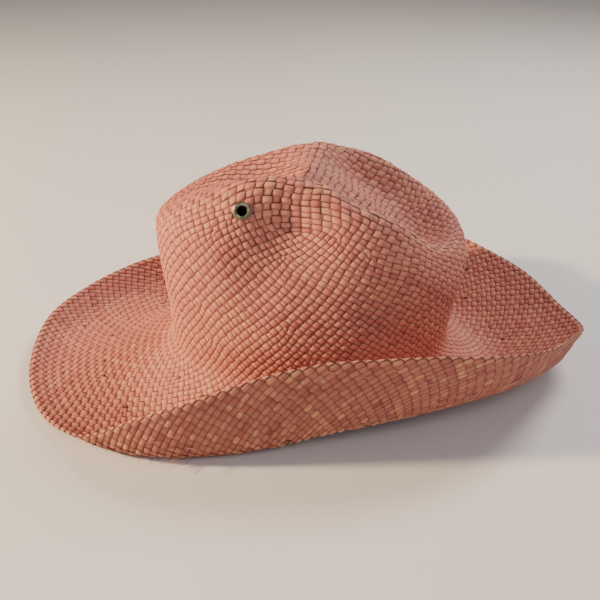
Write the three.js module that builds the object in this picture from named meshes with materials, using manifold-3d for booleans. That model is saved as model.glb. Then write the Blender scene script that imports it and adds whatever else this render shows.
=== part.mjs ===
// A western hat plaited in one piece from split palm leaf: a creased crown, a four inch brim
// curled up at both sides, and a metal vent eyelet in each side of the crown.
//
// Millimetres, +Z up, standing on the plane z = 0. +X points to the front of the brim, which
// ends in a soft point, and -Y is the side with the higher curl.
import * as THREE from "three";
import { mergeVertices } from "three/addons/utils/BufferGeometryUtils.js";
import Module from "manifold-3d";

// ---------- driving dimensions ----------
const HEAD_HALF_LENGTH = 101;   // crown's foot, front to back
const HEAD_HALF_WIDTH = 85;     // crown's foot, side to side
const TOP_HEIGHT = 148;         // middle of the crown's top
const FOOT_RISE = 9;            // where the wall starts to turn out into the brim
const FOOT_REACH = 7;           // how far the turn goes out

const PLAIT_THICKNESS = 1.6;    // one layer of plait
const BAND_EXTRA = 1.2;         // second layer, turned back below the rim
const BAND_WIDTH = 26;          // how far in from the rim the second layer reaches
const BAND_FADE = 4;            // over which its inner edge thins out

// The crown's middle lies off the middle of the whole hat by this much.
const CROWN_CENTRE = { x: 3.1, y: -6.3, z: 3.0 };

const AZIMUTHS = 64;
const STEPS_BETWEEN_STATIONS = [2, 3, 3, 3, 3, 2, 2, 3, 3, 3];

const EYELET_TURN = 232;        // azimuth on the -Y side, in degrees
const FAR_EYELET_TURN = 130;    // azimuth on the +Y side
const EYELET_STATION = 3.34;    // between the shoulder, 3, and the upper wall, 4
const EYELET = { hole: 3.1, barrel: 3.5, flange: 5.6, curl: 4.7, lip: 0.5 };
const SEAT_GAP = 0.3;
const WALL_BOW = 0.6;           // how far the rounded wall drops away inside an eyelet's width

// ---------- the form, one row for each section round the crown's middle ----------
// R is the distance from the middle and Z the height, both of the plait's middle layer.
const CROWN = readTable(`
angle innerR innerZ crestR crestZ shoulderR shoulderZ upperR upperZ wallR wallZ
  0   35     127    70     99     101.5     105       109    87     102   50
 22   30     132    64     111    96        116       105    97     100   52
 45   26     138    48     129    69        138.5     87     114    92    57
 70   24     146    42     149.5  54        146       72     118    86    60
 90   22     148    40     151    50        147       66     119    84    60
110   22     147    42     149.5  52        145       68     118    86    60
135   26     143.5  50     144    66        136.5     84     112    92    55
158   32     138.5  62     137    90        123.5     97     105    98    52
180   35     136    68     133    102       118       104.5  103    99.5  50
202   33     137    64     145    92        129       99     107    98    52
225   27     141    57     154    70        145       84     116    91    55
250   22     149.5  46     154.5  55        148.5     69     120    86    60
270   20     146.5  44     152    53        146.5     65     120    84    60
290   24     142    47     147.5  57        142       69     116    87    60
315   28     134    46     125.5  71        131.5     88     106    93    55
338   32     128    62     105    92        104.5     101    87     99    50
`);

const BRIM = readTable(`
angle baseZ bellyR bellyZ curlR curlZ rimR  rimZ
 -4   14    135   -1.3    185   20    199   32
  8   14    135   -1.3    178   16    196   28.5
 20   15    128    4      165   20    189   36
 32   16    125    6      155   22    181   41
 48   18    118    5      140   20    165   52
 70   19    106    3      122   15    144   61
 90   20    102    1      116   10    136   62
112   20    106   -1      122   6     140   52
132   20    116   -1.5     145   6     162   32
147   20    130    2      165   8     183   25
160   20    140    6      178   9     196   21
172   19    142    8      184   9     205   18
184   18    142    8      186   5     206   10
196   18    138    5      184   2     201.5 5
208   18    132    1      174   0.5   191.5 5
218   18    128    0      171   2     179.5 14
228   19    120    0      156   3.5   161   33
240   19    110    0      135   4     143   50
254   19    101    2      117   5     127   64
270   20    96     6      107   9     119   72.5
287   20    95     10     107   13    122   75
303   19    100    12     116   19    135   74.5
318   18    107    11     134   25    154   68
333   16    118    8      158   27    171.5 57
346   15    128    5      178   25    184   45
`);

// Dents in the crown's side, each fading out over `wide` along the wall and `tall` up it.
// A negative depth swells out.
const DENTS = readTable(`
angle height wide tall depth
257   129    27   24   9
243   98     22   26   3
281   139    4    10   1.5
290   118    18   26   -3
110   130    26   24   7
`);

function readTable(text) {
  const [names, ...rows] = text.trim().split("\n").map((line) => line.trim().split(/\s+/));
  return Object.fromEntries(names.map((name, i) => [name, rows.map((row) => Number(row[i]))]));
}

// ---------- smooth curves through the tables ----------
function knotSlopes(knots, values) {
  const steps = values.slice(1).map((v, i) => (v - values[i]) / (knots[i + 1] - knots[i]));
  return values.map((_, i) => {
    if (i === 0) return steps[0];
    if (i === values.length - 1) return steps[i - 1];
    const before = knots[i] - knots[i - 1];
    const after = knots[i + 1] - knots[i];
    return (steps[i - 1] * after + steps[i] * before) / (before + after);
  });
}

function smooth(knots, values, at) {
  let i = 0;
  while (i < knots.length - 2 && at >= knots[i + 1]) i += 1;
  const slopes = knotSlopes(knots, values);
  const gap = knots[i + 1] - knots[i];
  const s = (at - knots[i]) / gap;
  const s2 = s * s;
  const s3 = s2 * s;
  return (2 * s3 - 3 * s2 + 1) * values[i] + (s3 - 2 * s2 + s) * gap * slopes[i]
    + (3 * s2 - 2 * s3) * values[i + 1] + (s3 - s2) * gap * slopes[i + 1];
}

// A column's value at any azimuth, smooth all the way round.
function around(table, name, degrees) {
  const knots = table.angle;
  const values = table[name];
  const turn = (((degrees - knots[0]) % 360) + 360) % 360 + knots[0];
  const wrappedKnots = [...knots.slice(-2).map((k) => k - 360), ...knots,
    ...knots.slice(0, 3).map((k) => k + 360)];
  const wrappedValues = [...values.slice(-2), ...values, ...values.slice(0, 3)];
  return smooth(wrappedKnots, wrappedValues, turn);
}

function radians(degrees) {
  return degrees * Math.PI / 180;
}

// The stations of one section, from the middle of the top out to the rim, as [radius, height].
function sectionStations(degrees) {
  const crown = (name) => around(CROWN, name, degrees);
  const brim = (name) => around(BRIM, name, degrees);
  const turn = radians(degrees);
  const foot = HEAD_HALF_LENGTH * HEAD_HALF_WIDTH
    / Math.hypot(HEAD_HALF_WIDTH * Math.cos(turn), HEAD_HALF_LENGTH * Math.sin(turn));
  return [
    [0, TOP_HEIGHT],
    [crown("innerR"), crown("innerZ")],
    [crown("crestR"), crown("crestZ")],
    [crown("shoulderR"), crown("shoulderZ")],
    [crown("upperR"), crown("upperZ")],
    [crown("wallR"), crown("wallZ")],
    [foot, brim("baseZ") + FOOT_RISE],
    [foot + FOOT_REACH, brim("baseZ")],
    [brim("bellyR"), brim("bellyZ")],
    [brim("curlR"), brim("curlZ")],
    [brim("rimR"), brim("rimZ")],
  ];
}

// How far the dents push a point of the wall in.
function dentDepth(degrees, radius, height) {
  const onWall = THREE.MathUtils.clamp((radius - 30) / 20, 0, 1);
  return DENTS.angle.reduce((sum, angle, i) => {
    const turn = ((degrees - angle + 540) % 360) - 180;
    const along = radius * radians(turn) / DENTS.wide[i];
    const up = (height - DENTS.height[i]) / DENTS.tall[i];
    return sum + DENTS.depth[i] * onWall * Math.exp(-along * along - up * up);
  }, 0);
}

// A point of the plait's middle layer. Station 0 is the middle of the top and 10 the rim.
function pointOn(degrees, station) {
  const stations = sectionStations(degrees);
  const [inner] = stations.slice(1);
  // One station mirrored through the top's middle gives the curve its slope there.
  const path = [[-inner[0], 2 * TOP_HEIGHT - inner[1]], ...stations];
  const knots = [0];
  for (let i = 1; i < path.length; i += 1) {
    const chord = Math.hypot(path[i][0] - path[i - 1][0], path[i][1] - path[i - 1][1]);
    knots.push(knots[i - 1] + Math.sqrt(chord));
  }
  const whole = Math.min(Math.floor(station), stations.length - 2);
  const at = knots[whole + 1] + (station - whole) * (knots[whole + 2] - knots[whole + 1]);
  const radius = smooth(knots, path.map((p) => p[0]), at);
  const height = smooth(knots, path.map((p) => p[1]), at);
  const reach = radius - dentDepth(degrees, radius, height);
  return new THREE.Vector3(
    CROWN_CENTRE.x + reach * Math.cos(radians(degrees)),
    CROWN_CENTRE.y + reach * Math.sin(radians(degrees)),
    CROWN_CENTRE.z + height,
  );
}

// The outward direction: up on the brim and the top, away from the head on the wall.
function normalOn(degrees, station) {
  const inward = Math.max(station - 0.02, 0.01);
  const outward = Math.min(station + 0.02, STEPS_BETWEEN_STATIONS.length);
  const out = pointOn(degrees, outward).sub(pointOn(degrees, inward));
  const round = pointOn(degrees + 0.5, station).sub(pointOn(degrees - 0.5, station));
  return out.cross(round).normalize();
}

// ---------- closed solids ----------
function solidGeometry(positions, triangles) {
  const geometry = new THREE.BufferGeometry();
  geometry.setAttribute("position", new THREE.Float32BufferAttribute(positions, 3));
  geometry.setIndex(triangles);
  return geometry;
}

const wasm = await Module();
wasm.setup();

function toManifold(geometry) {
  const bare = geometry.clone();
  bare.deleteAttribute("normal");
  bare.deleteAttribute("uv");
  const merged = mergeVertices(bare, 1e-4);
  return new wasm.Manifold(new wasm.Mesh({
    numProp: 3,
    vertProperties: merged.attributes.position.array,
    triVerts: Uint32Array.from(merged.index.array),
  }));
}

function fromManifold(solid) {
  const mesh = solid.getMesh();
  const geometry = solidGeometry(Array.from(mesh.vertProperties), Array.from(mesh.triVerts));
  geometry.computeVertexNormals();
  return geometry;
}

// The shell: an outer and an inner skin on the same stations, joined round the rim.
function shellGeometry() {
  const stations = [];
  STEPS_BETWEEN_STATIONS.forEach((steps, segment) => {
    for (let k = 0; k < steps; k += 1) stations.push(segment + k / steps);
  });
  stations.push(STEPS_BETWEEN_STATIONS.length);

  const positions = [];
  const triangles = [];
  const outerMiddle = 0;
  const innerMiddle = 1;
  const halfLayer = PLAIT_THICKNESS / 2;
  positions.push(CROWN_CENTRE.x, CROWN_CENTRE.y, CROWN_CENTRE.z + TOP_HEIGHT + halfLayer);
  positions.push(CROWN_CENTRE.x, CROWN_CENTRE.y, CROWN_CENTRE.z + TOP_HEIGHT - halfLayer);

  const rings = stations.length - 1;
  const index = (turn, ring, skin) => 2 + ((turn % AZIMUTHS) * rings + ring) * 2 + skin;
  for (let turn = 0; turn < AZIMUTHS; turn += 1) {
    const degrees = turn * 360 / AZIMUTHS;
    const rim = pointOn(degrees, STEPS_BETWEEN_STATIONS.length);
    for (let ring = 0; ring < rings; ring += 1) {
      const middle = pointOn(degrees, stations[ring + 1]);
      const normal = normalOn(degrees, stations[ring + 1]);
      const toBand = (BAND_WIDTH + BAND_FADE / 2 - middle.distanceTo(rim)) / BAND_FADE;
      const extra = BAND_EXTRA * THREE.MathUtils.smoothstep(toBand, 0, 1);
      const outer = middle.clone().addScaledVector(normal, halfLayer);
      const inner = middle.clone().addScaledVector(normal, -halfLayer - extra);
      positions.push(outer.x, outer.y, outer.z, inner.x, inner.y, inner.z);
    }
  }
  for (let turn = 0; turn < AZIMUTHS; turn += 1) {
    const next = turn + 1;
    triangles.push(outerMiddle, index(turn, 0, 0), index(next, 0, 0));
    triangles.push(innerMiddle, index(next, 0, 1), index(turn, 0, 1));
    for (let ring = 0; ring < rings - 1; ring += 1) {
      const [a, b] = [index(turn, ring, 0), index(turn, ring + 1, 0)];
      const [c, d] = [index(next, ring + 1, 0), index(next, ring, 0)];
      triangles.push(a, b, c, a, c, d);
      triangles.push(a + 1, c + 1, b + 1, a + 1, d + 1, c + 1);
    }
    const [a, b] = [index(turn, rings - 1, 0), index(next, rings - 1, 0)];
    triangles.push(a, a + 1, b + 1, a, b + 1, b);
  }
  return solidGeometry(positions, triangles);
}

// A set eyelet, its axis along +Z, the hat's outer skin at z = 0 and its inner one below it:
// a domed flange outside, a barrel through the plait, and an edge curled over inside.
function eyeletGeometry() {
  const { hole, barrel, flange, curl, lip } = EYELET;
  const under = SEAT_GAP;
  const below = -PLAIT_THICKNESS - WALL_BOW - SEAT_GAP;
  const profile = [
    [hole, below - lip],
    [curl, below - lip * 1.4],
    [curl + 0.3, below - lip * 0.7],
    [curl, below],
    [barrel, below],
    [barrel, under],
    [flange, under],
    [flange + 0.1, under + lip * 0.6],
    [flange - 0.7, under + lip * 1.8],
    [hole + 1, under + lip * 2.2],
    [hole + 0.2, under + lip * 1.6],
    [hole, under + lip * 0.6],
    [hole, below - lip],
  ].map(([radius, height]) => new THREE.Vector2(radius, height));
  const geometry = new THREE.LatheGeometry(profile, 24);
  geometry.rotateX(Math.PI / 2);   // a lathe turns about Y
  return geometry;
}

// Where an eyelet sits: on the plait's outer skin, its axis square to it.
function eyeletPlace(degrees) {
  const normal = normalOn(degrees, EYELET_STATION);
  const seat = pointOn(degrees, EYELET_STATION).addScaledVector(normal, PLAIT_THICKNESS / 2);
  const turn = new THREE.Quaternion().setFromUnitVectors(new THREE.Vector3(0, 0, 1), normal);
  return new THREE.Matrix4().compose(seat, turn, new THREE.Vector3(1, 1, 1));
}

// A vent hole's cutter: a plain cylinder that goes right through the plait.
function ventCutter(place) {
  const radius = EYELET.barrel + SEAT_GAP;
  const cutter = new THREE.CylinderGeometry(radius, radius, 12, 24);
  cutter.rotateX(Math.PI / 2);
  cutter.applyMatrix4(place);
  return toManifold(cutter);
}

// ---------- materials ----------
function strawMaterial() {
  return new THREE.MeshStandardMaterial({ color: 0xc97c66, roughness: 0.6, metalness: 0 });
}

function eyeletMaterial() {
  return new THREE.MeshStandardMaterial({ color: 0x8d8467, roughness: 0.35, metalness: 0.9 });
}

// ---------- the hat ----------
const hat = new THREE.Group();

const places = {
  near_eyelet: eyeletPlace(EYELET_TURN),
  far_eyelet: eyeletPlace(FAR_EYELET_TURN),
};

let body = toManifold(shellGeometry());
for (const place of Object.values(places)) {
  body = body.subtract(ventCutter(place));
}
const woven = new THREE.Mesh(fromManifold(body), strawMaterial());
woven.name = "woven_body";
hat.add(woven);

for (const [name, place] of Object.entries(places)) {
  const eyelet = new THREE.Mesh(eyeletGeometry(), eyeletMaterial());
  eyelet.name = name;
  eyelet.applyMatrix4(place);
  hat.add(eyelet);
}

export default hat;
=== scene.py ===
import math
import bpy
import numpy as np
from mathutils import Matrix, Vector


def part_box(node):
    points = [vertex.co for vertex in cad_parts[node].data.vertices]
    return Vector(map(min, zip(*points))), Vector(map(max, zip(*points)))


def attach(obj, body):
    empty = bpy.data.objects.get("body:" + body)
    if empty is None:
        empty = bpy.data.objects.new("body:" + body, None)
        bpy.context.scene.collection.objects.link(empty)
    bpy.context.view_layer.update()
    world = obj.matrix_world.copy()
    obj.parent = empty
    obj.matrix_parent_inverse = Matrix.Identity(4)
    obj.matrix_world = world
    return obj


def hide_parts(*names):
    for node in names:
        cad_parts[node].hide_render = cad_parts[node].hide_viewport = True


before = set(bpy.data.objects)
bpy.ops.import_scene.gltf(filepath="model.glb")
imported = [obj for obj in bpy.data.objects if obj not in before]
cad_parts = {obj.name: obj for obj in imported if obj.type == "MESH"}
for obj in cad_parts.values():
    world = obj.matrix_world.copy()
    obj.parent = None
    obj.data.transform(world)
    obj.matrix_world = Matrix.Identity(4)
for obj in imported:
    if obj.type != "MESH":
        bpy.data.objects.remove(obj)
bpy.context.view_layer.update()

RANDOM = np.random.default_rng(11)
MM = 0.001

# ---------- the hat's form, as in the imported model, in millimetres ----------
HEAD_HALF_LENGTH = 101
HEAD_HALF_WIDTH = 85
TOP_HEIGHT = 148
FOOT_RISE = 9
FOOT_REACH = 7
CROWN_CENTRE = np.array([3.1, -6.3, 3.0])
FOOT_STATION = 6
RIM_STATION = 10


def read_table(text):
    rows = [line.split() for line in text.strip().splitlines()]
    return {column[0]: np.array(column[1:], float) for column in zip(*rows)}


# One row for each section round the crown's middle. R is the distance from it and Z the height.
CROWN = read_table("""
angle innerR innerZ crestR crestZ shoulderR shoulderZ upperR upperZ wallR wallZ
  0   35     127    70     99     101.5     105       109    87     102   50
 22   30     132    64     111    96        116       105    97     100   52
 45   26     138    48     129    69        138.5     87     114    92    57
 70   24     146    42     149.5  54        146       72     118    86    60
 90   22     148    40     151    50        147       66     119    84    60
110   22     147    42     149.5  52        145       68     118    86    60
135   26     143.5  50     144    66        136.5     84     112    92    55
158   32     138.5  62     137    90        123.5     97     105    98    52
180   35     136    68     133    102       118       104.5  103    99.5  50
202   33     137    64     145    92        129       99     107    98    52
225   27     141    57     154    70        145       84     116    91    55
250   22     149.5  46     154.5  55        148.5     69     120    86    60
270   20     146.5  44     152    53        146.5     65     120    84    60
290   24     142    47     147.5  57        142       69     116    87    60
315   28     134    46     125.5  71        131.5     88     106    93    55
338   32     128    62     105    92        104.5     101    87     99    50
""")

BRIM = read_table("""
angle baseZ bellyR bellyZ curlR curlZ rimR  rimZ
 -4   14    135   -1.3    185   20    199   32
  8   14    135   -1.3    178   16    196   28.5
 20   15    128    4      165   20    189   36
 32   16    125    6      155   22    181   41
 48   18    118    5      140   20    165   52
 70   19    106    3      122   15    144   61
 90   20    102    1      116   10    136   62
112   20    106   -1      122   6     140   52
132   20    116   -1.5    145   6     162   32
147   20    130    2      165   8     183   25
160   20    140    6      178   9     196   21
172   19    142    8      184   9     205   18
184   18    142    8      186   5     206   10
196   18    138    5      184   2     201.5 5
208   18    132    1      174   0.5   191.5 5
218   18    128    0      171   2     179.5 14
228   19    120    0      156   3.5   161   33
240   19    110    0      135   4     143   50
254   19    101    2      117   5     127   64
270   20    96     6      107   9     119   72.5
287   20    95     10     107   13    122   75
303   19    100    12     116   19    135   74.5
318   18    107    11     134   25    154   68
333   16    118    8      158   27    171.5 57
346   15    128    5      178   25    184   45
""")

DENTS = read_table("""
angle height wide tall depth
257   129    27   24   9
243   98     22   26   3
281   139    4    10   1.5
290   118    18   26   -3
110   130    26   24   7
""")


# ---------- smooth curves through the tables ----------
def knot_slopes(knots, values):
    gaps = np.diff(knots)
    steps = np.diff(values) / gaps
    inner = (steps[..., :-1] * gaps[..., 1:] + steps[..., 1:] * gaps[..., :-1])
    inner = inner / (gaps[..., :-1] + gaps[..., 1:])
    return np.concatenate([steps[..., :1], inner, steps[..., -1:]], axis=-1)


def hermite(s, gap, start, end, start_slope, end_slope):
    s2 = s * s
    s3 = s2 * s
    return ((2 * s3 - 3 * s2 + 1) * start + (s3 - 2 * s2 + s) * gap * start_slope
            + (3 * s2 - 2 * s3) * end + (s3 - s2) * gap * end_slope)


def around(table, name, degrees):
    """A column's value at any azimuth, smooth all the way round."""
    knots = table["angle"]
    values = table[name]
    turn = np.mod(degrees - knots[0], 360) + knots[0]
    knots = np.concatenate([knots[-2:] - 360, knots, knots[:3] + 360])
    values = np.concatenate([values[-2:], values, values[:3]])
    slopes = knot_slopes(knots, values)
    i = np.clip(np.searchsorted(knots, turn, side="right") - 1, 0, len(knots) - 2)
    gap = knots[i + 1] - knots[i]
    return hermite((turn - knots[i]) / gap, gap, values[i], values[i + 1], slopes[i], slopes[i + 1])


def section_stations(degrees):
    """Radius and height of the eleven stations of each section."""
    turn = np.radians(degrees)
    foot = HEAD_HALF_LENGTH * HEAD_HALF_WIDTH / np.hypot(
        HEAD_HALF_WIDTH * np.cos(turn), HEAD_HALF_LENGTH * np.sin(turn))
    base = around(BRIM, "baseZ", degrees)
    radius = [0 * turn]
    height = [0 * turn + TOP_HEIGHT]
    for place in ("inner", "crest", "shoulder", "upper", "wall"):
        radius.append(around(CROWN, place + "R", degrees))
        height.append(around(CROWN, place + "Z", degrees))
    radius += [foot, foot + FOOT_REACH]
    height += [base + FOOT_RISE, base]
    for place in ("belly", "curl", "rim"):
        radius.append(around(BRIM, place + "R", degrees))
        height.append(around(BRIM, place + "Z", degrees))
    return np.stack(radius, axis=1), np.stack(height, axis=1)


DENTS_FROM = 30       # mm from the crown's middle, inside which there are none
DENTS_GROW_OVER = 20


def dent_depth(degrees, radius, height):
    on_wall = np.clip((radius - DENTS_FROM) / DENTS_GROW_OVER, 0, 1)
    depth = 0 * radius
    for angle, up_at, wide, tall, deep in zip(*DENTS.values()):
        turn = np.mod(degrees[:, None] - angle + 540, 360) - 180
        along = radius * np.radians(turn) / wide
        up = (height - up_at) / tall
        depth += deep * on_wall * np.exp(-along * along - up * up)
    return depth


FINE = 20   # sections are sampled this many times from one station to the next


def middle_layer(degrees):
    """Points of the plait's middle layer, a row for each azimuth, from the top to the rim."""
    radius, height = section_stations(degrees)
    radius = np.concatenate([-radius[:, 1:2], radius], axis=1)
    height = np.concatenate([2 * TOP_HEIGHT - height[:, 1:2], height], axis=1)
    chords = np.hypot(np.diff(radius), np.diff(height))
    knots = np.concatenate([0 * radius[:, :1], np.cumsum(np.sqrt(chords), axis=1)], axis=1)
    columns = []
    for values in (radius, height):
        slopes = knot_slopes(knots, values)
        column = []
        for k in range(1, RIM_STATION + 1):
            gap = knots[:, k + 1, None] - knots[:, k, None]
            s = np.arange(FINE)[None] / FINE
            ends = [v[:, k + e, None] for v in (values, slopes) for e in (0, 1)]
            column.append(hermite(s, gap, *ends))
        column.append(values[:, -1:])
        columns.append(np.concatenate(column, axis=1))
    radius, height = columns
    reach = radius - dent_depth(degrees, radius, height)
    turn = np.radians(degrees)[:, None]
    points = np.stack([reach * np.cos(turn), reach * np.sin(turn), height], axis=2)
    return points + CROWN_CENTRE


def clamped(share):
    return min(max(share, 0), 1)


def eased(share):
    """The share within 0 and 1, with a soft start and a soft end."""
    share = clamped(share)
    return share * share * (3 - 2 * share)


def unit(vectors):
    return vectors / np.maximum(np.linalg.norm(vectors, axis=-1, keepdims=True), 1e-9)


# ---------- the surface as a map: how far out, and how far round ----------
# Out runs from 0 at the top's middle to 1 at the crown's foot and 2 at the rim, by the length of
# plait. Round is an angle that is spread evenly along each ring of the surface.
OUT_STEPS = 240
ROUND_STEPS = 360
END_CROWDING = 0.12   # strands lie this much closer at the two ends of the brim
CROWDING_OVER = 0.4   # how far out from the foot it takes to get there
EVEN_FROM = 0.02      # nearer the middle the rings are too small to be spread evenly


def build_map():
    degrees = np.arange(ROUND_STEPS) * 360 / ROUND_STEPS
    grid = middle_layer(degrees)
    out = unit(np.gradient(grid, axis=1))
    level = np.roll(grid, -1, axis=0) - np.roll(grid, 1, axis=0)
    normal = unit(np.cross(out, level))
    normal[:, 0] = (0, 0, 1)
    lengths = np.linalg.norm(np.diff(grid, axis=1), axis=2)
    lengths = np.concatenate([np.zeros((ROUND_STEPS, 1)), np.cumsum(lengths, axis=1)], axis=1)
    at_foot = lengths[:, FOOT_STATION * FINE]
    brim = lengths[:, -1] - at_foot
    samples = np.arange(lengths.shape[1])
    turns = np.linspace(0, 2 * math.pi, ROUND_STEPS + 1)

    rows = []
    rings = []
    for reach in np.linspace(0, 2, OUT_STEPS + 1):
        target = min(reach, 1) * at_foot + max(reach - 1, 0) * brim
        at = np.array([np.interp(target[i], lengths[i], samples) for i in range(ROUND_STEPS)])
        low = np.minimum(at.astype(int), samples[-1] - 1)
        part = (at - low)[:, None]
        every = np.arange(ROUND_STEPS)
        ring = np.concatenate([
            field[every, low] * (1 - part) + field[every, low + 1] * part
            for field in (grid, normal, out)], axis=1)
        ring = np.vstack([ring, ring[:1]])
        steps = np.linalg.norm(np.diff(ring[:, :3], axis=0), axis=1)
        rings.append(steps.sum() / (2 * math.pi))
        even = turns
        if reach > EVEN_FROM:
            far = np.concatenate([[0], np.cumsum(steps)])
            half = far[ROUND_STEPS // 2]
            even = np.where(far <= half, far / half, 1 + (far - half) / (far[-1] - half)) * math.pi
        crowd = END_CROWDING * clamped((reach - 1) / CROWDING_OVER)
        wanted = turns - crowd / 2 * np.sin(2 * turns)
        places = np.interp(wanted, even, turns)
        rows.append(np.stack([np.interp(places, turns, ring[:, c]) for c in range(9)], axis=1))
    return np.array(rows), np.array(rings), float(np.mean(at_foot)), float(np.mean(brim))


SURFACE, RING_RADIUS, CROWN_LENGTH, BRIM_LENGTH = build_map()


def surface_at(reach, turn):
    """Point, normal and outward direction of the middle layer."""
    row = np.clip(reach / 2 * OUT_STEPS, 0, OUT_STEPS)
    column = np.mod(turn, 2 * math.pi) / (2 * math.pi) * ROUND_STEPS
    i = np.minimum(row.astype(int), OUT_STEPS - 1)
    k = np.minimum(column.astype(int), ROUND_STEPS - 1)
    a = (row - i)[:, None]
    b = (column - k)[:, None]
    value = ((SURFACE[i, k] * (1 - b) + SURFACE[i, k + 1] * b) * (1 - a)
             + (SURFACE[i + 1, k] * (1 - b) + SURFACE[i + 1, k + 1] * b) * a)
    return value[:, :3], unit(value[:, 3:6]), unit(value[:, 6:9])


# ---------- the plait: courses of crossings, and the strands through them ----------
TOP_COURSES = 19      # the square start grows by four crossings a course up to here
TOP_STEP = 1.46       # its courses lie this much further apart than the wall's
START_TURN = -0.09    # where the first of its four corners points
SQUARE_COURSES = 8    # its crossings are spread as on a square up to here
BULGE_COURSES = 11    # its corners stand out more with each course up to here
BULGE_FADES_FROM = 9  # that fades from this course on
BULGE_FADES_OVER = 23
SQUARE_MEAN = 1.128   # mean distance of a square's edge from its middle; its least is 1

CROWN_COURSES = 60    # to the crown's foot
BRIM_COURSES = 37     # from the foot to the fold at the rim
BAND_COURSES = 17     # turned back under the rim
BAND_STEP = 1.3       # these lie this much further apart than the brim's
FOLD = CROWN_COURSES + BRIM_COURSES
LAST = FOLD + BAND_COURSES

LEAN_FROM = 16        # course where the whole plait starts to wind round
LEAN_GROWS_OVER = 12  # courses until it does so fully
LEAN_WALL = 0.27      # how far it then goes round for each step out
LEAN_BRIM = 0.25
LEAN_BAND = -0.4

BAND_DROP = 1.3       # mm from the first layer to the one turned under it
FOLD_INSET = 0.45     # mm that the folds lie inside the rim
CUT_BACK = [0, 0, 0, 0, 1, 2]   # courses that a strand's end is cut short by
JITTER = 0.13         # mm, a hand's unevenness
FOLD_STEADINESS = 0.4  # share of it that is left at the fold
UNEVENNESS_KEPT = 0.8  # share of a course's uneven spacing that the next one keeps
SMALLEST_RING = 8     # mm of radius, for the turn that a crossing's unevenness makes

# New strands are folded in round the top's edge, low on the wall and where the brim widens.
GROWTH = read_table("""
course added
22     4
26     8
43     8
51     8
65     8
66     8
79    18
80    14
88     6
89     6
""")

RIGHT = 0   # strands that turn one way on their way out
LEFT = 1    # and the other


def reach_of(course):
    """How far out a course lies: 1 at the crown's foot, 2 at the fold, and back again under it."""
    on_crown = np.minimum(course, TOP_COURSES) * TOP_STEP + np.maximum(course - TOP_COURSES, 0)
    whole = TOP_COURSES * TOP_STEP + CROWN_COURSES - TOP_COURSES
    on_brim = 1 + (course - CROWN_COURSES) / BRIM_COURSES
    return np.where(course <= CROWN_COURSES, on_crown / whole,
                    np.minimum(on_brim, 2 - (on_brim - 2) * BAND_STEP))


def square_bulge(j, psi):
    """How many courses further out one lies at its corners, where the start is still square."""
    turn = psi - START_TURN
    shape = math.sqrt(2) / (np.abs(np.cos(turn)) + np.abs(np.sin(turn))) / SQUARE_MEAN - 1
    fade = eased(1 - (j - BULGE_FADES_FROM) / BULGE_FADES_OVER)
    return min(j, BULGE_COURSES) * fade * shape


def square_course(j):
    """Angles of the crossings of a course of the square start, and their links to the next."""
    quarter = np.repeat(np.arange(4), j)
    i = np.tile(np.arange(j), 4)
    corner = START_TURN + quarter * math.pi / 2
    even = corner + (i + 0.5) / j * math.pi / 2
    square = corner + np.arctan2(i + 0.5, j - 0.5 - i)
    still = eased(1 - (j - SQUARE_COURSES) / (TOP_COURSES - SQUARE_COURSES))
    low = quarter * (j + 1) + i
    return even * (1 - still) + square * still, (low + 1, low)


def join_corners(base, j, inward, flips):
    """Where two quarters meet, a strand of one is the other family's strand in the next."""
    for q in range(4):
        ends = (2 * (base + q * j + j - 1) + LEFT, 2 * (base + (q + 1) % 4 * j) + RIGHT)
        inward.update((ends, ends[::-1]))
        flips.update(ends)


def next_course(psi, j):
    """The next course's angles, with the strands that start there, and the links to it."""
    count = len(psi)
    starts = np.zeros(count, bool)
    if j + 1 in GROWTH["course"]:
        added = int(GROWTH["added"][list(GROWTH["course"]).index(j + 1)])
        where = (np.arange(added) + RANDOM.uniform(0.1, 0.9, added)) / added * count
        starts[where.astype(int)] = True
    child = np.arange(count) + np.cumsum(starts)
    later = np.append(psi[1:], psi[0] + 2 * math.pi)
    grown = np.empty(count + starts.sum())
    grown[child] = (psi + later) / 2
    grown[child[starts] - 1] = psi[starts]
    slot = 2 * math.pi * np.arange(len(grown)) / len(grown)
    shift = grown - slot
    psi = slot + shift.mean() + (shift - shift.mean()) * UNEVENNESS_KEPT
    return psi, (child, np.roll(child, 1))


def lean_step(j, out):
    """How far round the plait winds from this course to the next."""
    slant = LEAN_WALL if j < CROWN_COURSES else LEAN_BRIM if j < FOLD else LEAN_BAND
    length = CROWN_LENGTH if j < CROWN_COURSES else BRIM_LENGTH
    step = abs(reach_of(j + 1) - reach_of(j)) * length
    radius = RING_RADIUS[int(min(out, 2) / 2 * OUT_STEPS)]
    return slant * clamped((j - LEAN_FROM) / LEAN_GROWS_OVER) * step / radius


def build_plait():
    """Every crossing's place, and for each strand at it the next crossing out and in."""
    reach, turn, course = [], [], []
    outward, inward, flips = {}, {}, set()
    base = 0
    lean = 0.0
    for j in range(1, LAST + 1):
        if j <= TOP_COURSES:
            psi, links = square_course(j)
            join_corners(base, j, inward, flips)
        count = len(psi)
        reach.append(reach_of(j + square_bulge(j, psi)))
        turn.append(psi + lean)
        course.append(np.full(count, j))
        if j == LAST:
            break
        if j >= TOP_COURSES:
            psi, links = next_course(psi, j)
        for family in (RIGHT, LEFT):
            here = 2 * (base + np.arange(count)) + family
            there = 2 * (base + count + links[family]) + family
            outward.update(zip(here.tolist(), there.tolist()))
            inward.update(zip(there.tolist(), here.tolist()))
        base += count
        lean += lean_step(j, reach[-1][0])
    return (np.concatenate(reach), np.concatenate(turn), np.concatenate(course),
            outward, inward, flips)


REACH, TURN, COURSE, OUTWARD, INWARD, FLIPS = build_plait()


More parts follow.
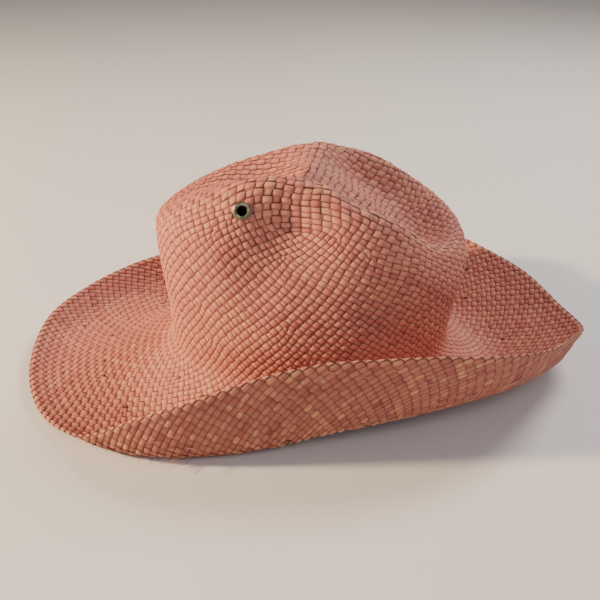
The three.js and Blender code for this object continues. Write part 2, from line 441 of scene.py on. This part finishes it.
def place_crossings():
    count = len(COURSE)
    radius = np.interp(REACH, np.linspace(0, 2, OUT_STEPS + 1), RING_RADIUS)
    uneven = RANDOM.normal(0, JITTER, (2, count))
    uneven[:, COURSE == FOLD] *= FOLD_STEADINESS
    reach = REACH + uneven[0] / BRIM_LENGTH
    reach = np.where(COURSE == FOLD, 2.0, np.minimum(reach, 2.0))
    turn = TURN + uneven[1] / np.maximum(radius, SMALLEST_RING)
    point, normal, out = surface_at(reach, turn)
    under = (COURSE > FOLD)[:, None]
    fold = (COURSE == FOLD)[:, None]
    point = np.where(under, point - BAND_DROP * normal, point)
    point = np.where(fold, point - FOLD_INSET * out - BAND_DROP / 2 * normal, point)
    normal = np.where(under, -normal, np.where(fold, out, normal))
    return point, normal


POINT, NORMAL = place_crossings()


def trace_strands():
    """Each strand as the list of its places, where a place is twice the crossing plus family."""
    seen = set()
    strands = []
    for node in np.nonzero(COURSE == LAST)[0]:
        for family in (RIGHT, LEFT):
            place = 2 * int(node) + family
            if place in seen:
                continue
            path = [place]
            while place in INWARD and place not in FLIPS:
                place = INWARD[place]
                path.append(place)
            if place in FLIPS:
                place = INWARD[place]
                path.append(place)
                while place in OUTWARD:
                    place = OUTWARD[place]
                    path.append(place)
            seen.update(path)
            strands.append(np.array(path))
    return strands


STRANDS = trace_strands()


def run_tangents():
    """The step along each strand at each of its places."""
    tangent = np.zeros((2 * len(COURSE), 3))
    for path in STRANDS:
        tangent[path] = np.gradient(POINT[path // 2], axis=0)
    return tangent


TANGENT = run_tangents()

# ---------- strands as ribbons ----------
SAMPLES = 4           # sections of ribbon from one crossing to the next
PAST_ENDS = 0.3       # crossings that a ribbon goes on past its first and its last one
ACROSS = np.array([-1, -0.75, 0, 0.75, 1])    # where a section has its points
CURL = np.array([1, 0.38, 0, 0.38, 1])        # how far down each is on a curled section
SWING_POWER = 0.85    # under 1, for flatter cells with steeper ends
PINCH = 0.12          # how much narrower a strand is where it goes under
END_WIDTH = 0.6       # share of its width that it has at its two ends
BAND_FLATTER = 0.35   # how much less it stands out and curls in the band
# These have one value for each family of strands.
LIFTS = np.array([0.95, 0.6])       # mm that one stands out where it is over
CAMBERS = np.array([0.95, 0.65])    # mm that its edges curl down there
WIDTHS = np.array([1.18, 0.94])     # as shares of their spacing
BIAS = np.array([0.2, -0.2])        # how much longer each stays on the outside than the inside

DRIFT = 0.35          # spread of the tones along a strand
SPOT = 0.22           # and from one cell to the next
BAND_SPOTTIER = 1.8   # how much more of that there is in the band
TONE_SPREAD = 0.22
# Painted shade in the grooves, heaviest at each cell's right and lower sides, away from the light.
SIDE_SHADE_LEVEL = 0.8      # painted shade is heaviest at one side of each cell
SIDE_SHADE_DOWN = 0.6       # and below
SIDE_SHADE_LEAST = 0.3      # and this much at the other two
SIDE_SHADE_MIDDLE = 0.45
SIDE_SHADE_GAIN = 1.1
EDGE_POWER = 4        # the higher, the thinner the painted shade at the edges
START_REACH = 0.2     # crossings that a strand's dark start is long
RIM_WEAR = 0.6
RIM_WEAR_WIDTH = 0.7  # courses to each side of the fold
SPLIT_SHARE = 0.06    # cells of the band that are split and show paler fibre
SPLIT_WEAR = 0.6
TIP_WEAR = 0.5

VENTS = [(np.array(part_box(name)[0]) + np.array(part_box(name)[1])) / 2 / MM
         for name in ("near_eyelet", "far_eyelet")]
VENT_RADIUS = 4.4
REST_HEIGHT = 1.2     # mm above the floor, below which strands are pressed together
REST_GAP = 0.1


def spline(values, at):
    """Catmull-Rom through rows of values, carried straight on past both ends."""
    values = np.vstack([2 * values[0] - values[1], values, 2 * values[-1] - values[-2]])
    i = np.clip(np.floor(at).astype(int), 0, len(values) - 4)
    s = (at - i)[:, None]
    p0, p1, p2, p3 = (values[i + k] for k in range(4))
    return hermite(s, 1, p1, p2, (p2 - p0) / 2, (p3 - p1) / 2)


def straight(values, at):
    i = np.clip(np.floor(at).astype(int), 0, len(values) - 2)
    s = (at - i)
    if values.ndim > 1:
        s = s[:, None]
    return values[i] * (1 - s) + values[i + 1] * s


def painted_shade_side(towards):
    """How much painted shade an edge gets: every cell is painted darkest at its right and lower
    sides, away from the light.
    """
    return SIDE_SHADE_LEAST + (1 - SIDE_SHADE_LEAST) * np.clip(SIDE_SHADE_MIDDLE + SIDE_SHADE_GAIN * towards, 0, 1)


def above_floor(points):
    """The plait presses flat where it rests: nothing goes below the floor or changes places."""
    low = points[..., 2] < REST_HEIGHT
    pressed = REST_GAP + (REST_HEIGHT - REST_GAP) * np.exp(
        np.minimum(points[..., 2] - REST_HEIGHT, 0) / (REST_HEIGHT - REST_GAP))
    points[..., 2] = np.where(low, pressed, points[..., 2])
    return points


def sections(count):
    """Where a strand's sections lie, counted in crossings from its first."""
    at = np.arange((count - 1) * SAMPLES) / SAMPLES + 0.5 / SAMPLES
    return np.concatenate([[-PAST_ENDS, 0], at, [count - 1, count - 1 + PAST_ENDS]])


def swings(course, family, at, in_band):
    """1 where a strand is over, -1 where it is under, and what lies between."""
    over = np.where((course % 2 == 0) == (family == RIGHT), 1.0, -1.0)
    near = np.clip(np.floor(at).astype(int), 0, len(course) - 2)
    swing = np.cos(math.pi * (at - near)) * over[near]
    swing = np.sign(swing) * np.abs(swing) ** SWING_POWER
    bias = straight(BIAS[family], at) * (1 - in_band)
    return np.clip(swing + bias * (1 - swing * swing), -1, 1)


def section_heights(family, at, swing, in_band):
    """How far each point of each section stands out from the layer's middle."""
    flat = swing * (1 - BAND_FLATTER * in_band)
    lift = straight(LIFTS[family], at) * flat
    curl = straight(CAMBERS[family], at) * flat
    return lift[:, None] - curl[:, None] * CURL[None]


def straw_tones(count, at, in_band, tone):
    """Paler or darker for a whole strand, along it and from cell to cell."""
    drift = straight(RANDOM.normal(0, DRIFT, count // 5 + 3), at / 5 + 0.5)
    spot = straight(RANDOM.normal(0, SPOT, count + 1), np.clip(at + 0.5, 0, count))
    return 0.5 + TONE_SPREAD * (tone + drift + spot * (1 + BAND_SPOTTIER * in_band))


def painted_groove_shade(points, normals, along, other, at, swing):
    """How much painted shade each point gets in the grooves at the sides and ends of the cells."""
    level = unit(points[:, [1, 0, 2]] * (-1, 1, 0))
    shaded_side = unit(level * SIDE_SHADE_LEVEL + np.cross(level, normals) * SIDE_SHADE_DOWN)
    end_turn = straight(np.einsum("ij,ij->i", unit(along), shaded_side), at)
    edge_turn = straight(np.einsum("ij,ij->i", unit(other), shaded_side), at)
    ends = (1 - np.abs(swing)) * painted_shade_side(end_turn * np.sign(at - np.round(at)))
    edges = painted_shade_side(edge_turn[:, None] * np.sign(ACROSS[None]))
    return np.maximum(ends[:, None], edges * np.abs(ACROSS[None]) ** EDGE_POWER)


def starts_on_brim(course, at, from_end):
    """The dark spot where a strand comes in on the brim."""
    new = straight(((course > CROWN_COURSES) & (course < FOLD)).astype(float), at)
    return new * np.clip(1 - from_end / START_REACH, 0, 1)


def wear(course, at, in_band, from_end):
    """Paler fibre: on the rim's folds, at cut tips and where a cell of the band has split."""
    from_fold = np.abs(straight(course.astype(float), at) - FOLD)
    rim = RIM_WEAR * np.clip(1 - from_fold / RIM_WEAR_WIDTH, 0, 1)
    cell = np.clip(np.round(at).astype(int), 0, len(course) - 1)
    split = (RANDOM.random(len(course)) < SPLIT_SHARE)[cell] & (at - np.round(at) > 0.1)
    tip = np.maximum(np.clip(0.9 - 2 * from_end, 0, TIP_WEAR), SPLIT_WEAR * split)
    return np.maximum(rim, in_band * tip)


def ribbon(path, width, tone):
    """One strand's grid of points, with what its material needs to know at each."""
    node = path // 2
    family = path % 2
    course = COURSE[node]
    points = POINT[node]
    normals = NORMAL[node]
    along = np.gradient(points, axis=0)
    other = TANGENT[path ^ 1]
    side = np.sign(np.einsum("ij,ij->i", np.cross(along, other), normals))
    other = other * side[:, None]

    at = sections(len(path))
    from_end = np.minimum(at, len(path) - 1 - at)
    in_band = straight((course > FOLD).astype(float), at)
    swing = swings(course, family, at, in_band)
    centre = spline(points, at)
    half = width * straight(WIDTHS[family], at) * (1 - PINCH * (1 - np.abs(swing)))
    half[[0, -1]] *= END_WIDTH
    height = section_heights(family, at, swing, in_band)
    sideways = straight(other, at) / 2
    grid = (centre[:, None] + sideways[:, None] * (ACROSS[None] * half[:, None])[..., None]
            + unit(straight(normals, at))[:, None] * height[..., None])

    tones = straw_tones(len(path), at, in_band, tone)
    # Painted shade in the grooves at the cells' sides and ends, with the dark starts of new strands
    # on the brim.
    painted_shade_and_dark = np.maximum(painted_groove_shade(points, normals, along, other, at, swing),
                        starts_on_brim(course, at, from_end)[:, None])
    worn = wear(course, at, in_band, from_end)
    facts = spread(tones[:, None], painted_shade_and_dark, in_band[:, None], worn[:, None])
    steps = np.concatenate([[0], np.cumsum(np.linalg.norm(np.diff(centre, axis=0), axis=1))])
    return grid, facts, spread(steps[:, None], ACROSS[None] * 2.0)


def spread(*values):
    """The values at every point of a grid, side by side."""
    return np.stack(np.broadcast_arrays(*values, ACROSS[None])[:len(values)], axis=2)


def add_mesh(name, points, quads, facts, places):
    mesh = bpy.data.meshes.new(name)
    mesh.vertices.add(len(points))
    mesh.vertices.foreach_set("co", (points * MM).astype(np.float32).ravel())
    mesh.loops.add(quads.size)
    mesh.loops.foreach_set("vertex_index", quads.astype(np.int32).ravel())
    mesh.polygons.add(len(quads))
    mesh.polygons.foreach_set("loop_start", np.arange(len(quads), dtype=np.int32) * 4)
    mesh.update(calc_edges=True)
    mesh.validate()
    mesh.polygons.foreach_set("use_smooth", np.ones(len(mesh.polygons), bool))
    tone = mesh.attributes.new("straw_tone", "FLOAT_COLOR", "POINT")
    tone.data.foreach_set("color", np.clip(facts, 0, 1).astype(np.float32).ravel())
    grain = mesh.attributes.new("straw_grain", "FLOAT_VECTOR", "POINT")
    grain.data.foreach_set("vector", places.astype(np.float32).ravel())
    piece = bpy.data.objects.new(name, mesh)
    bpy.context.scene.collection.objects.link(piece)
    return piece


def cut_short(path):
    """The strand with its ends under the rim trimmed back by a few courses or not at all."""
    first, last = (int(RANDOM.choice(CUT_BACK)) * int(COURSE[place // 2] == LAST)
                   for place in path[[0, -1]])
    return path[first:len(path) - last]


PIECE_QUADS = 92000   # a piece is closed when it holds more than this
WIDTH_RANGE = (0.93, 0.99)
STRAND_TONES = 0.4    # spread of the tones from strand to strand
GRAIN_LENGTH = 3000   # each strand's fibre is a piece from somewhere along this length,
GRAIN_APART = (7.3, 1.7)    # and this far from the next strand's


def build_strands():
    """The strands in pieces of a handy size."""
    pieces = []
    batch = []
    held = 0
    order = np.argsort([TURN[path[0] // 2] % (2 * math.pi) for path in STRANDS])
    for number, which in enumerate(order):
        path = cut_short(STRANDS[which])
        width = RANDOM.uniform(*WIDTH_RANGE)
        grid, facts, places = ribbon(path, width, RANDOM.normal(0, STRAND_TONES))
        start = RANDOM.uniform(0, GRAIN_LENGTH)
        across, beside = (number * apart for apart in GRAIN_APART)
        places = np.dstack([places[..., 0] + start, places[..., 1] + across,
                            np.full(places.shape[:2], beside)])
        batch.append((grid, facts, places))
        held += (grid.shape[0] - 1) * (grid.shape[1] - 1)
        if held > PIECE_QUADS or number == len(order) - 1:
            pieces.append(join_batch(batch, "plait_%d" % (len(pieces) + 1)))
            batch = []
            held = 0
    return pieces


def join_batch(batch, name):
    points, quads, facts, places = [], [], [], []
    base = 0
    for grid, fact, place in batch:
        rows, columns = grid.shape[:2]
        index = base + np.arange(rows * columns).reshape(rows, columns)
        faces = np.stack([index[:-1, :-1], index[:-1, 1:], index[1:, 1:], index[1:, :-1]], axis=2)
        middle = grid[:-1, :-1] + grid[:-1, 1:] + grid[1:, 1:] + grid[1:, :-1]
        keep = np.ones(middle.shape[:2], bool)
        for vent in VENTS:
            keep &= np.linalg.norm(middle / 4 - vent, axis=2) > VENT_RADIUS
        points.append(above_floor(grid.reshape(-1, 3)))
        quads.append(faces[keep])
        facts.append(fact.reshape(-1, 4))
        places.append(place.reshape(-1, 3))
        base += rows * columns
    return add_mesh(name, *(np.concatenate(part) for part in (points, quads, facts, places)))


# ---------- fibres that have split off ----------
# Where they stick out: azimuths, how far out, and which side of the plait. Then their length in
# mm, the share of it that they rise by, and how dark they are.
STRAYS = read_table("""
fromAngle toAngle fromOut toOut count side length rise dark
212       246     1.55    1.85  34    -1   9.0    0.2  0.0
250       300     1.80    1.97  8     -1   4.0    0.3  0.2
72        93      0.225   0.255 14    1    3.0    0.45 1.0
196       236     1.30    1.75  6     1    3.0    0.3  0.6
""")
STRAY_WIDTH = 0.7
STRAY_STEPS = 6
ROOT_HEIGHT = 0.5     # above the layer that they come out of


def stray_fibre(first, last, low, high, side, length, most, dark):
    """A thin curved strip, rooted in the plait and bending away from it."""
    turn = np.radians(np.array([RANDOM.uniform(first, last)]))
    root, normal, out = surface_at(np.array([RANDOM.uniform(low, high)]), turn)
    level = np.cross(normal, out)
    # Under the brim they lie level with the ground, and don't follow it up.
    out = out * [1, 1, side > 0]
    lie = unit(out * RANDOM.uniform(0.7, 1.2) + level * RANDOM.uniform(-1, 1))
    rise = normal * side
    from_layer = ROOT_HEIGHT + (BAND_DROP if side < 0 else 0)
    reach = (np.linspace(0, 1, STRAY_STEPS) * length * RANDOM.uniform(0.5, 1.2))[:, None]
    bend = (reach / length) ** 1.5 * length * RANDOM.uniform(0.3, 1) * most
    line = root + rise * from_layer + lie * reach + rise * bend
    across = unit(np.cross(lie, rise)) * STRAY_WIDTH / 2
    taper = np.linspace(1, 0.3, STRAY_STEPS)[:, None]
    grid = np.stack([line - across * taper, line + across * taper], axis=1)
    facts = np.broadcast_to((RANDOM.uniform(0.5, 0.9), dark, 0, 0), (STRAY_STEPS, 2, 4))
    places = np.stack([np.repeat(reach, 2, axis=1), np.tile([-1.0, 1.0], (STRAY_STEPS, 1)),
                       np.full((STRAY_STEPS, 2), turn[0] * 50)], axis=2)
    return grid, facts, places


def stray_fibres():
    batch = []
    for first, last, low, high, count, *kind in zip(*STRAYS.values()):
        batch += [stray_fibre(first, last, low, high, *kind) for _ in range(int(count))]
    return join_batch(batch, "stray_fibres")


# ---------- materials ----------
def new_material(name):
    material = bpy.data.materials.new(name)
    material.use_nodes = True
    tree = material.node_tree
    tree.nodes.clear()
    output = tree.nodes.new("ShaderNodeOutputMaterial")
    shader = tree.nodes.new("ShaderNodeBsdfPrincipled")
    tree.links.new(shader.outputs["BSDF"], output.inputs["Surface"])
    return material, tree, shader


def feed(tree, socket, value):
    """Gives a socket a value, or a link where the value is another node's output."""
    if isinstance(value, bpy.types.NodeSocket):
        tree.links.new(value, socket)
    else:
        socket.default_value = value


def node(tree, kind, inputs=(), **settings):
    made = tree.nodes.new(kind)
    for name, value in settings.items():
        setattr(made, name, value)
    for name, value in dict(inputs).items():
        feed(tree, made.inputs[name], value)
    return made


def mix_colour(tree, how_much, first, second):
    made = tree.nodes.new("ShaderNodeMix")
    made.data_type = "RGBA"
    for socket, value in zip((made.inputs[0], made.inputs[6], made.inputs[7]),
                             (how_much, first, second)):
        feed(tree, socket, value)
    return made.outputs[2]


def maths(tree, operation, first, second=0.0, clamp=False):
    made = tree.nodes.new("ShaderNodeMath")
    made.operation = operation
    made.use_clamp = clamp
    feed(tree, made.inputs[0], first)
    feed(tree, made.inputs[1], second)
    return made.outputs[0]


def ramp(tree, factor, stops):
    made = tree.nodes.new("ShaderNodeValToRGB")
    tree.links.new(factor, made.inputs["Fac"])
    elements = made.color_ramp.elements
    while len(elements) < len(stops):
        elements.new(0.5)
    for element, (place, colour) in zip(elements, stops):
        element.position = place
        element.color = (*colour, 1)
    return made.outputs["Color"]


def stretched_noise(tree, grain, stretch, settings):
    """Noise along the strands, stretched by so much along, across and from one to the next."""
    place = node(tree, "ShaderNodeVectorMath", {0: grain.outputs["Vector"], 1: stretch},
                 operation="MULTIPLY")
    made = node(tree, "ShaderNodeTexNoise",
                {"Vector": place.outputs["Vector"], "Scale": 1.0, **settings})
    return made.outputs["Fac"]


def around_zero(tree, noise, size):
    return maths(tree, "MULTIPLY", maths(tree, "SUBTRACT", noise, 0.5), size)


def coat(tree, shader, colour, noise, rough, bumps):
    """Colour, roughness from a least value and a share of the noise, and bumps of the noise."""
    tree.links.new(colour, shader.inputs["Base Color"])
    least, share = rough
    rough = maths(tree, "ADD", least, maths(tree, "MULTIPLY", noise, share))
    tree.links.new(rough, shader.inputs["Roughness"])
    strength, distance = bumps
    bump = node(tree, "ShaderNodeBump",
                {"Height": noise, "Strength": strength, "Distance": distance})
    tree.links.new(bump.outputs["Normal"], shader.inputs["Normal"])


FIBRE_STRETCH = (0.09, 2.6, 1.0)
PATCH_STRETCH = (0.03, 0.12, 1.0)
DYED = [
    (0.05, (0.36, 0.103, 0.083)),
    (0.3, (0.50, 0.163, 0.127)),
    (0.55, (0.58, 0.220, 0.158)),
    (0.95, (0.66, 0.335, 0.170)),
]
# The band turned under the rim: the same dyed straw painted darker, as painted shade.
DYED_WITH_PAINTED_SHADE = [
    (0.05, (0.23, 0.062, 0.052)),
    (0.3, (0.37, 0.110, 0.086)),
    (0.5, (0.39, 0.147, 0.093)),
    (0.7, (0.47, 0.148, 0.120)),
    (0.95, (0.56, 0.290, 0.140)),
]
FIBRE_TONES = 0.5     # how far the fibre's noise moves the tone
PATCH_TONES = 1.1     # and how far the patches do in the band
FIBRE_ROUGHNESS = (0.45, 0.26)
FIBRE_BUMPS = (0.35, 0.00025)
WORN_LEAST = 0.35
SHADE_AND_DARK_FROM = 0.2       # of the painted groove shade and dark marks, and how fast they darken from there
SHADE_AND_DARK_GAIN = 1.9
WORN = (0.66, 0.36, 0.22, 1)
# Painted shade in the grooves, mostly painted shade and partly the straw's darker dye there; dark
# stray fibres and strand starts use it too.
PAINTED_SHADE_AND_DARK = (0.085, 0.018, 0.012, 1)
BRASS_ROUGHNESS = (0.24, 0.3)
BRASS_BUMPS = (0.25, 0.0001)
AGED_BRASS = [
    (0.32, (0.075, 0.08, 0.055)),
    (0.5, (0.19, 0.185, 0.125)),
    (0.68, (0.34, 0.31, 0.21)),
]


def straw_material():
    material, tree, shader = new_material("dyed_palm_straw")
    facts = node(tree, "ShaderNodeAttribute", attribute_name="straw_tone")
    parts = node(tree, "ShaderNodeSeparateColor", {"Color": facts.outputs["Color"]})
    tone, painted_shade_and_dark, band = parts.outputs["Red"], parts.outputs["Green"], parts.outputs["Blue"]
    rim = facts.outputs["Alpha"]
    grain = node(tree, "ShaderNodeAttribute", attribute_name="straw_grain")
    fibre = stretched_noise(tree, grain, FIBRE_STRETCH, {"Detail": 3.0, "Roughness": 0.6})
    patch = stretched_noise(tree, grain, PATCH_STRETCH, {"Detail": 2.0})

    shade = maths(tree, "ADD", tone, around_zero(tree, fibre, FIBRE_TONES))
    outside = ramp(tree, shade, DYED)
    patchy = maths(tree, "ADD", shade, around_zero(tree, patch, PATCH_TONES))
    # Painted shade: the band under the rim takes the darker ramp.
    turned = ramp(tree, patchy, DYED_WITH_PAINTED_SHADE)
    colour = mix_colour(tree, band, outside, turned)
    worn = maths(tree, "MULTIPLY", rim, maths(tree, "ADD", WORN_LEAST, fibre), True)
    colour = mix_colour(tree, worn, colour, WORN)
    # Painted shade: the grooves between cells are mixed towards a dark colour, mostly painted shade
    # and partly the straw's darker dye.
    deep = maths(tree, "SUBTRACT", painted_shade_and_dark, SHADE_AND_DARK_FROM, True)
    deep = maths(tree, "MULTIPLY", deep, SHADE_AND_DARK_GAIN, True)
    colour = mix_colour(tree, deep, colour, PAINTED_SHADE_AND_DARK)
    coat(tree, shader, colour, fibre, FIBRE_ROUGHNESS, FIBRE_BUMPS)
    shader.inputs["Specular IOR Level"].default_value = 0.28
    return material


def eyelet_material():
    material, tree, shader = new_material("antique_brass")
    where = node(tree, "ShaderNodeTexCoord")
    blotch, fine = (
        node(tree, "ShaderNodeTexNoise",
             {"Vector": where.outputs["Object"], "Scale": scale, "Detail": detail}).outputs["Fac"]
        for scale, detail in ((420.0, 4.0), (2600.0, 3.0)))
    coat(tree, shader, ramp(tree, blotch, AGED_BRASS), fine, BRASS_ROUGHNESS, BRASS_BUMPS)
    shader.inputs["Metallic"].default_value = 0.9
    return material


STRAW = straw_material()
BRASS = eyelet_material()

for piece in build_strands() + [stray_fibres()]:
    piece.data.materials.append(STRAW)
    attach(piece, "root")
    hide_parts("woven_body")

for name in ("near_eyelet", "far_eyelet"):
    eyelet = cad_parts[name]
    if not eyelet.material_slots:
        eyelet.data.materials.append(BRASS)
    for place in eyelet.material_slots:
        place.material = BRASS


# ---------- floor, light and camera ----------
FLOOR_REACH = 6.0
LOOK_AT = (0, 0, 0.05)
EYE = (-0.0039, -0.4593, 0.3110)
EYE_PITCH = 60        # degrees up from straight down
LENS = 42.9
SENSOR = 36


def pale_floor():
    mesh = bpy.data.meshes.new("floor")
    mesh.from_pydata([(x * FLOOR_REACH, y * FLOOR_REACH, 0)
                      for x, y in ((-1, -1), (1, -1), (1, 1), (-1, 1))], [], [(0, 1, 2, 3)])
    floor = bpy.data.objects.new("floor", mesh)
    bpy.context.scene.collection.objects.link(floor)
    material, _, shader = new_material("pale_floor")
    shader.inputs["Base Color"].default_value = (0.72, 0.71, 0.69, 1)
    shader.inputs["Roughness"].default_value = 0.75
    floor.data.materials.append(material)


def area_light(name, place, size, power, colour):
    light = bpy.data.lights.new(name, "AREA")
    light.shape = "DISK"
    light.size = size
    light.energy = power
    light.color = colour
    lamp = bpy.data.objects.new(name, light)
    lamp.location = place
    away = np.array(place) - np.array(LOOK_AT)
    lamp.rotation_euler = (math.atan2(math.hypot(away[0], away[1]), away[2]), 0,
                           math.atan2(away[1], away[0]) + math.pi / 2)
    bpy.context.scene.collection.objects.link(lamp)


def studio():
    world = bpy.data.worlds.new("studio")
    world.use_nodes = True
    background = world.node_tree.nodes["Background"]
    background.inputs["Color"].default_value = (0.95, 0.93, 1.0, 1)
    background.inputs["Strength"].default_value = 0.22
    bpy.context.scene.world = world
    area_light("key", (-1.60, -0.20, 0.72), 0.16, 69, (1.0, 0.72, 0.43))
    area_light("window", (0.8, 0.65, 1.25), 0.6, 20, (1.0, 0.90, 0.86))
    area_light("fill", (0.3, -1.1, 1.2), 0.8, 7, (1.0, 0.93, 0.95))


def camera():
    lens = bpy.data.cameras.new("camera")
    lens.sensor_width = SENSOR
    lens.lens = LENS
    lens.clip_start = 0.01
    eye = bpy.data.objects.new("camera", lens)
    eye.location = EYE
    eye.rotation_euler = (math.radians(EYE_PITCH), 0, 0)
    bpy.context.scene.collection.objects.link(eye)
    bpy.context.scene.camera = eye


pale_floor()
studio()
camera()
